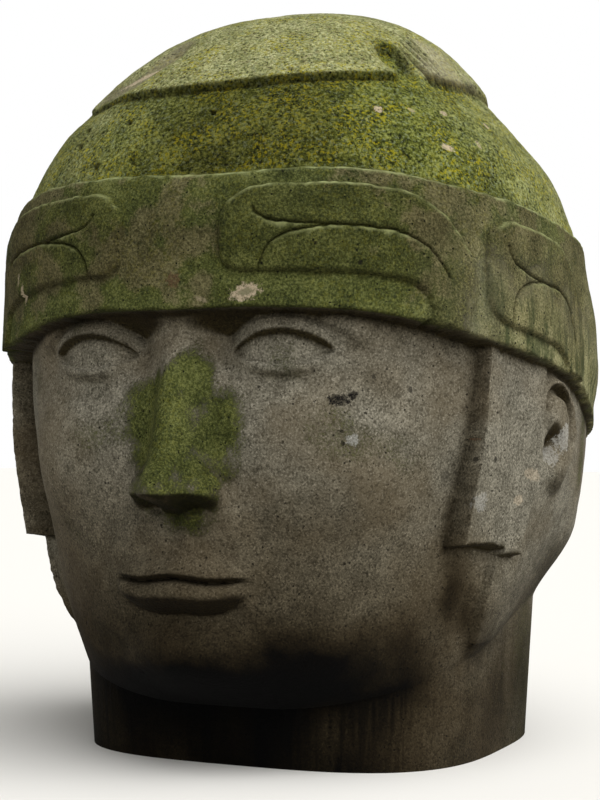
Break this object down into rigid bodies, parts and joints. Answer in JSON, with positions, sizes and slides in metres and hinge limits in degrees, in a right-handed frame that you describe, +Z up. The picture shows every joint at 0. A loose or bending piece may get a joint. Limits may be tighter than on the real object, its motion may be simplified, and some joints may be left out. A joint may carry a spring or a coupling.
{
  "type": "colossal stone head",
  "caption": "Colossal head carved from one boulder, in a close helmet with a raised headband, relief motifs and hanging side straps, cut flat under the neck and resting on it.",
  "frame": {"origin": "on the flat underside of the neck block, below the middle of the headband's oval", "axes": "+Z up through the crown, -Y the way the face looks, +X the head's own left side"},
  "size_m": [2.1395, 2.1587, 2.648],
  "materials": {
    "weathered_basalt": "pitted and weathered, with olive moss and dark staining"
  },
  "bodies": {
    "root": {"colossal_head": "weathered_basalt"}
  },
  "joints": []
}
